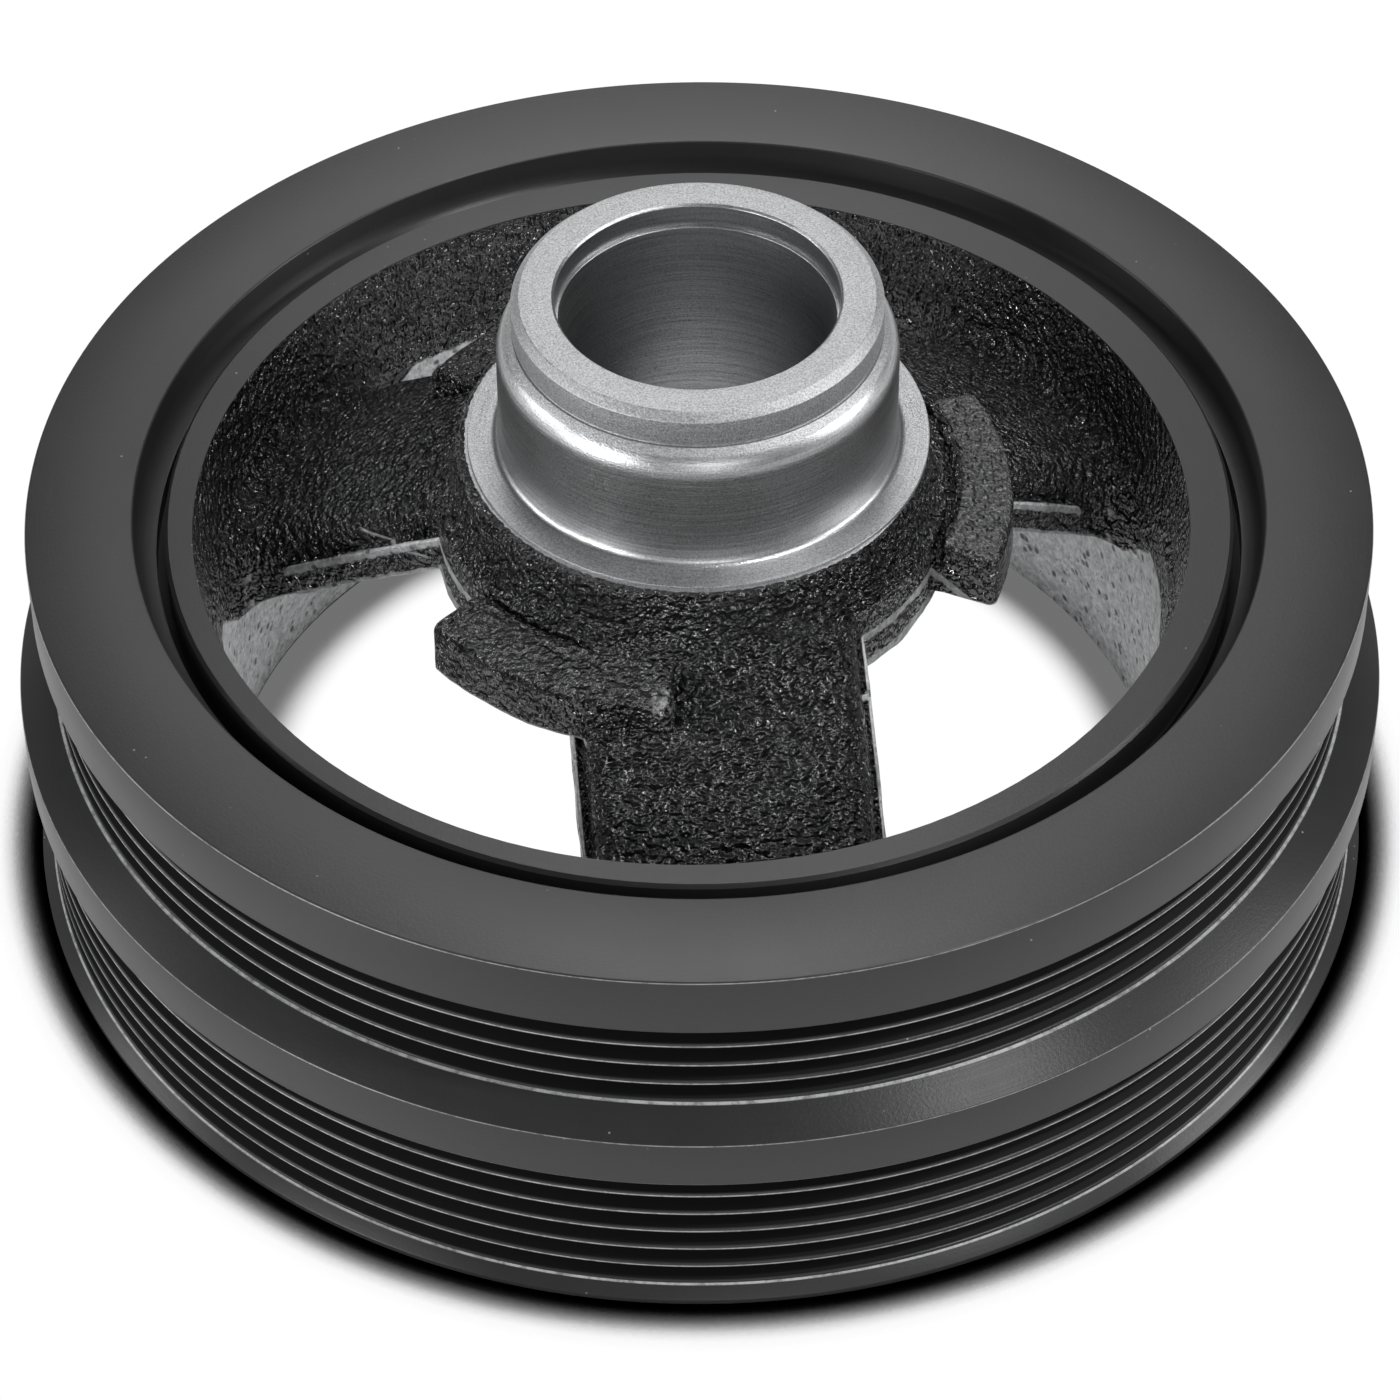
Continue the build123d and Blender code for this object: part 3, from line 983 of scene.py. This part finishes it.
@dataclass
class InertiaRing:
    """Turned ring with a pulley of six ribs and one of four, its edges broken and its grooves rounded.

    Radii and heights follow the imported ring, drawn in by a hair so that the piece stays within it.
    """

    height: float = 60.0 * MM
    mouth_r: float = 78.5 * MM
    bore_r: float = 75.7 * MM
    mouth_straight: float = 3.1 * MM
    mouth_cove: float = 2.8 * MM
    rib_pitch: float = 3.56 * MM
    rib_depth: float = 2.7 * MM
    rib_tip: float = 0.7 * MM
    rib_flank: float = 20.0
    rear_tip_r: float = 91.3 * MM
    rear_z: float = 35.12 * MM
    rear_ribs: int = 4
    rear_flange_r: float = 93.45 * MM
    rear_flange_z: float = 50.7 * MM
    front_tip_r: float = 94.55 * MM
    front_z: float = 2.39 * MM
    front_ribs: int = 6
    middle_r: float = 96.68 * MM
    middle_low_z: float = 24.82 * MM
    middle_high_z: float = 32.42 * MM
    lip_r: float = 96.4 * MM
    lip_z: float = 0.99 * MM
    edge: float = 0.35 * MM
    tip_round: float = 0.16 * MM
    root_round: float = 0.35 * MM
    steps: int = 300

    def ribs(self, tip_r: float, low_z: float, count: int) -> list[Corner]:
        """Sets out one pulley's ribs.

        Args:
            tip_r: Radius of the tips.
            low_z: Height of the lowest tip.
            count: How many grooves there are.

        Returns:
            The corners, from the lowest tip to the highest.
        """
        half_tip = self.rib_tip / 2
        root = half_tip + self.rib_depth * math.tan(math.radians(self.rib_flank))
        corners = []
        for index in range(count):
            start = low_z + index * self.rib_pitch
            end = start + self.rib_pitch
            corners.append(Corner(tip_r, start + half_tip, self.tip_round))
            corners.append(Corner(tip_r - self.rib_depth, start + root, self.root_round))
            corners.append(Corner(tip_r - self.rib_depth, end - root, self.root_round))
            corners.append(Corner(tip_r, end - half_tip, self.tip_round))
        return corners

    def outline(self) -> list[Corner]:
        """Sets out the ring's section.

        Returns:
            The corners, from the lower mouth round the outside.
        """
        cove_low = self.mouth_straight + self.mouth_cove
        cove_high = self.height - cove_low
        return [
            Corner(self.mouth_r, 0, self.edge),
            Corner(self.lip_r, 0, self.edge),
            Corner(self.lip_r, self.lip_z, self.edge / 2),
            Corner(self.front_tip_r, self.front_z),
            *self.ribs(self.front_tip_r, self.front_z, self.front_ribs),
            Corner(self.front_tip_r, self.front_z + self.front_ribs * self.rib_pitch),
            Corner(self.middle_r, self.middle_low_z, self.edge),
            Corner(self.middle_r, self.middle_high_z, self.edge),
            Corner(self.rear_tip_r, self.rear_z),
            *self.ribs(self.rear_tip_r, self.rear_z, self.rear_ribs),
            Corner(self.rear_tip_r, self.rear_z + self.rear_ribs * self.rib_pitch),
            Corner(self.rear_flange_r, self.rear_flange_z, self.edge),
            Corner(self.rear_flange_r, self.height, self.edge),
            Corner(self.mouth_r, self.height, self.edge),
            Corner(self.mouth_r, cove_high, self.mouth_cove),
            Corner(self.bore_r, cove_high),
            Corner(self.bore_r, cove_low),
            Corner(self.mouth_r, cove_low, self.mouth_cove),
        ]

    def build(self) -> None:
        """Turns the ring and coats it."""
        piece = lathe("inertia_ring_turned", rounded_outline(self.outline(), 3), self.steps)
        smooth(piece)
        tips = (
            (self.rear_tip_r, self.rear_z, self.rear_ribs),
            (self.front_tip_r, self.front_z, self.front_ribs),
        )
        pulleys = tuple(Ribs(tip, low, low + count * self.rib_pitch, self.rib_pitch, self.rib_depth)
                        for tip, low, count in tips)
        # Outer edges that get a painted highlight line.
        edges = (
            (self.rear_flange_r, self.height - self.edge / 2),
            (self.middle_r, self.middle_high_z),
            (self.middle_r, self.middle_low_z),
        )
        finish = PulleyCoat(pulleys=pulleys, edges=edges)
        dress(piece, plain("satin_coat", finish), Slot.RING, "inertia_ring")


@dataclass
class RubberRing:
    """Rubber pressed between the rim and the inertia ring, with hollow ends."""

    inner_r: float = 71.9 * MM
    end_r: float = 73.55 * MM
    outer_r: float = 75.68 * MM
    low_z: float = 8.5 * MM
    high_z: float = 51.5 * MM
    waist: float = 2.0 * MM
    hollow: float = 0.5 * MM
    steps: int = 240

    def build(self) -> None:
        """Turns the rubber."""
        middle = (self.end_r + self.outer_r) / 2
        corners = [
            Corner(self.end_r, self.low_z, 0.2 * MM),
            Corner(middle, self.low_z + self.hollow, 1.0 * MM),
            Corner(self.outer_r, self.low_z),
            Corner(self.outer_r, self.high_z),
            Corner(middle, self.high_z - self.hollow, 1.0 * MM),
            Corner(self.end_r, self.high_z, 0.2 * MM),
            Corner(self.inner_r, self.high_z - self.waist),
            Corner(self.inner_r, self.low_z + self.waist),
        ]
        piece = lathe("rubber_ring_moulded", rounded_outline(corners), self.steps)
        smooth(piece)
        dress(piece, plain("rubber", Elastomer()), Slot.RUBBER, "rubber_ring")


@dataclass
class Snout:
    """Turned snout of the hub, with its edges broken, a rounded journal edge and a hollow foot."""

    nose_r: float = 25.2 * MM
    nose_z: float = 95.1 * MM
    nose_chamfer: float = 1.1 * MM
    nose_foot_z: float = 89.7 * MM
    groove_depth: float = 0.35 * MM
    groove_height: float = 0.6 * MM
    journal_r: float = 27.4 * MM
    journal_edge: float = 4.6 * MM
    foot_round: float = 1.3 * MM
    shoulder_r: float = 31.82 * MM
    shoulder_z: float = 70.9 * MM
    seam_z: float = 70.6 * MM
    bore_r: float = 18.8 * MM
    relief_r: float = 19.3 * MM
    relief_depth: float = 3.6 * MM
    mouth_chamfer: float = 0.35 * MM
    edge: float = 0.2 * MM
    steps: int = 200

    def outline(self) -> list[Corner]:
        """Sets out the snout's section.

        Returns:
            The corners, from the seam round the outside to the bore.
        """
        lead_in = self.journal_r - self.nose_r
        groove_r = self.nose_r - self.groove_depth
        groove_top = self.nose_foot_z + self.groove_height
        return [
            Corner(self.shoulder_r, self.seam_z),
            Corner(self.shoulder_r, self.shoulder_z, self.edge / 2),
            Corner(self.journal_r, self.shoulder_z, self.foot_round),
            Corner(self.journal_r, self.nose_foot_z - lead_in, self.journal_edge),
            Corner(self.nose_r, self.nose_foot_z, self.edge / 2),
            Corner(groove_r, self.nose_foot_z, self.edge / 2),
            Corner(groove_r, groove_top, self.edge / 2),
            Corner(self.nose_r, groove_top, self.edge / 2),
            Corner(self.nose_r, self.nose_z - self.nose_chamfer, self.edge),
            Corner(self.nose_r - self.nose_chamfer, self.nose_z, self.edge),
            Corner(self.relief_r + self.mouth_chamfer, self.nose_z, self.edge),
            Corner(self.relief_r, self.nose_z - self.mouth_chamfer, self.edge),
            Corner(self.relief_r, self.nose_z - self.relief_depth),
            Corner(self.bore_r, self.nose_z - self.relief_depth, self.edge / 2),
            Corner(self.bore_r, self.seam_z),
        ]

    def build(self, material: bpy.types.Material) -> None:
        """Turns the snout and gives it the hub's finish.

        Args:
            material: The hub's finish.
        """
        piece = lathe("hub_snout", rounded_outline(self.outline(), 5), self.steps)
        smooth(piece, 50)
        dress(piece, material, Slot.CASTING, "hub")


@dataclass
class HubCasting:
    """The hub's own solid, with its sand-cast skin divided and made uneven.

    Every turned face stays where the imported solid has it.
    """

    zones: HubZones
    snout: Snout
    longest_edge: float = 2.4 * MM
    passes: int = 6
    fade: float = 1.2 * MM
    uneven: float = 0.7 * MM
    grain: float = 6.0 * MM

    def cast_share(self, place: Vector) -> float:
        """How far a point belongs to the cast skin.

        Args:
            place: A point of the hub.

        Returns:
            0 on a turned face, rising to 1 a short way from it.
        """
        radius = math.hypot(place.x, place.y)
        room = min(
            self.zones.boss_top - 0.1 * MM - place.z,
            self.zones.rim_top - place.z,
            place.z - self.zones.rim_bottom,
            radius - self.zones.bore_r,
            self.zones.turned_r - radius,
        )
        return min(max(room / self.fade, 0.0), 1.0)

    def divide(self, piece: bpy.types.Object) -> None:
        """Halves the cast skin's long edges, pass by pass.

        Args:
            piece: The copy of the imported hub.
        """
        mesh = piece.data
        bpy.context.tool_settings.mesh_select_mode = (False, True, False)
        for _ in range(self.passes):
            bpy.ops.object.mode_set(mode="EDIT")
            bpy.ops.mesh.select_all(action="DESELECT")
            bpy.ops.object.mode_set(mode="OBJECT")
            places = [vertex.co.copy() for vertex in mesh.vertices]
            cast = [self.cast_share(place) > 0 for place in places]
            for edge in mesh.edges:
                start, end = edge.vertices
                long = (places[start] - places[end]).length > self.longest_edge
                edge.select = long and (cast[start] or cast[end])
            bpy.ops.object.mode_set(mode="EDIT")
            bpy.ops.mesh.subdivide(number_cuts=1)
            bpy.ops.mesh.select_all(action="SELECT")
            bpy.ops.mesh.quads_convert_to_tris(quad_method="BEAUTY", ngon_method="BEAUTY")
            bpy.ops.object.mode_set(mode="OBJECT")

    def roughen(self, piece: bpy.types.Object) -> None:
        """Moves the cast skin in and out by a fraction of a millimetre.

        Args:
            piece: The divided copy of the hub.
        """
        group = piece.vertex_groups.new(name="cast_skin")
        for vertex in piece.data.vertices:
            share = self.cast_share(vertex.co)
            if share > 0:
                group.add([vertex.index], share, "REPLACE")
        texture = bpy.data.textures.new("sand", type="CLOUDS")
        texture.noise_scale = self.grain
        texture.noise_depth = 2
        skin = piece.modifiers.new("sand", "DISPLACE")
        skin.texture = texture
        skin.texture_coords = "LOCAL"
        skin.vertex_group = group.name
        skin.mid_level = 0.5
        skin.strength = self.uneven
        select_only(piece)
        bpy.ops.object.modifier_apply(modifier=skin.name)

    def build(self, node: bpy.types.Object) -> None:
        """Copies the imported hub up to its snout, roughens its skin, finishes it and turns the snout.

        Args:
            node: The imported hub, which the piece replaces.
        """
        piece = bpy.data.objects.new("hub_cast", node.data.copy())
        bpy.context.scene.collection.objects.link(piece)
        select_only(piece)
        if piece.data.has_custom_normals:
            bpy.ops.mesh.customdata_custom_splitnormals_clear()
        bpy.ops.object.mode_set(mode="EDIT")
        bpy.ops.mesh.select_all(action="SELECT")
        bpy.ops.mesh.remove_doubles(threshold=MM / 1000)
        bpy.ops.mesh.normals_make_consistent(inside=False)
        seam = (0, 0, self.snout.seam_z)
        bpy.ops.mesh.bisect(plane_co=seam, plane_no=(0, 0, 1), clear_outer=True, threshold=MM / 1000)
        bpy.ops.mesh.bridge_edge_loops()
        bpy.ops.mesh.select_all(action="SELECT")
        bpy.ops.mesh.normals_make_consistent(inside=False)
        bpy.ops.object.mode_set(mode="OBJECT")
        self.divide(piece)
        self.roughen(piece)
        smooth(piece, 35)
        material = self.zones.material("hub_finish")
        dress(piece, material, Slot.CASTING, "hub")
        self.snout.build(material)


# Stage


@dataclass(frozen=True)
class Lamp:
    """A soft rectangular lamp that faces the part.

    Args:
        name: The lamp's name.
        place: Where it hangs, in metres.
        size: Its width and height.
        power: Its power in watts.
    """

    name: str
    place: tuple[float, float, float]
    size: tuple[float, float]
    power: float


@dataclass
class Studio:
    """Floor, lights and the camera, which stands where the projected circles of the rings put it."""

    focal_px: float = 5088.8
    tilt: float = 44.05
    roll: float = 0.36
    camera_y: float = -529.07 * MM
    camera_z: float = 531.09 * MM
    sensor_mm: float = 36.0
    near_clip: float = 10 * MM
    floor_size: float = 6.0
    floor_grey: float = 0.85
    white: float = 1.02
    shadow_samples: int = 32
    shadow_reach: float = 10 * MM
    shadow_dark: float = 0.48
    shadow_outside: float = 88 * MM
    shadow_inside: float = 0.16
    shadow_power: tuple[float, float] = (1.5, 9.5)
    soft_light: float = 0.13
    aim: tuple[float, float, float] = (0.0, 0.0, 50 * MM)
    lamps: tuple[Lamp, ...] = (
        Lamp("rear_lamp", (0.0, 0.88, 0.92), (0.4, 0.4), 1.5),
        Lamp("high_lamp", (0.0, 0.45, 1.15), (0.4, 0.4), 4.0),
        Lamp("spark_lamp", (0.5, -0.3, 1.0), (0.1, 0.1), 4.5),
        Lamp("front_lamp", (0.15, -1.15, 0.45), (0.4, 0.4), 2.2),
        Lamp("left_lamp", (-1.2, 0.0, 0.4), (0.4, 0.4), 4.0),
        Lamp("right_lamp", (1.15, -0.1, 0.55), (0.4, 0.4), 7.0),
        Lamp("front_left_lamp", (-0.95, -0.75, 0.3), (0.4, 0.4), 8.0),
        Lamp("low_rear_lamp", (0.0, 1.15, 0.5), (0.5, 0.4), 0.8),
    )

    def floor(self) -> None:
        """Lays the pale floor, which the camera sees white where no shadow falls."""
        bpy.ops.object.select_all(action="DESELECT")
        bpy.ops.mesh.primitive_plane_add(size=self.floor_size, location=(0, 0, 0))
        floor = bpy.context.active_object
        floor.name = "studio_floor"
        graph = Graph("studio_floor")
        near = graph.node("ShaderNodeAmbientOcclusion", {"samples": self.shadow_samples},
                          {"Distance": self.shadow_reach})
        contact = Value(graph, near.outputs["AO"])
        outside = graph.radius.rise(self.shadow_outside - 2 * MM, self.shadow_outside)
        soft, hard = self.shadow_power
        shade = contact.rise(self.shadow_dark, 1.0) ** (soft + outside * (hard - soft))
        shade = shade.higher((1 - outside) * self.shadow_inside)
        glow = graph.node("ShaderNodeEmission", inputs={"Strength": shade * self.white}).outputs[0]
        plain_grey = (self.floor_grey, self.floor_grey, self.floor_grey, 1)
        matt = graph.node("ShaderNodeBsdfDiffuse", inputs={"Color": plain_grey}).outputs[0]
        path = graph.node("ShaderNodeLightPath").outputs
        seen = Value(graph, path["Is Camera Ray"]).higher(Value(graph, path["Is Glossy Ray"]))
        floor.data.materials.append(graph.end(graph.mix(seen, matt, glow)))

    def world(self) -> None:
        """Fills the room with soft light."""
        world = bpy.data.worlds.new("studio")
        bpy.context.scene.world = world
        world.use_nodes = True
        light = world.node_tree.nodes["Background"]
        light.inputs["Color"].default_value = (1, 1, 1, 1)
        light.inputs["Strength"].default_value = self.soft_light

    def lights(self) -> None:
        """Hangs the lamps."""
        for lamp in self.lamps:
            bpy.ops.object.light_add(type="AREA", location=lamp.place)
            light = bpy.context.active_object
            light.name = lamp.name
            light.data.shape = "RECTANGLE"
            light.data.size, light.data.size_y = lamp.size
            light.data.energy = lamp.power
            beam = Vector(self.aim) - Vector(lamp.place)
            light.rotation_euler = beam.to_track_quat("-Z", "Y").to_euler()

    def camera(self) -> None:
        """Sets the camera at the photograph's place, tilt and lens."""
        data = bpy.data.cameras.new("camera")
        camera = bpy.data.objects.new("camera", data)
        bpy.context.scene.collection.objects.link(camera)
        data.sensor_width = self.sensor_mm
        data.lens = self.focal_px / PHOTO_WIDTH * data.sensor_width
        data.clip_start = self.near_clip
        tilted = Matrix.Rotation(math.radians(90 - self.tilt), 4, "X")
        rolled = Matrix.Rotation(math.radians(-self.roll), 4, "Z")
        place = Matrix.Translation((0, self.camera_y, self.camera_z))
        camera.matrix_world = place @ tilted @ rolled
        bpy.context.scene.camera = camera

    def build(self) -> None:
        """Builds the whole stage."""
        self.floor()
        self.world()
        self.lights()
        self.camera()
        bpy.context.scene.view_settings.view_transform = "Standard"


def main() -> None:
    """Builds the balancer's looks round its solids."""
    logging.basicConfig(level=logging.INFO, format="%(message)s")
    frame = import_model()
    Studio().build()
    InertiaRing().build()
    RubberRing().build()
    HubCasting(HubZones(), Snout()).build(frame["nodes"]["hub"])


if __name__ == "__main__":
    main()
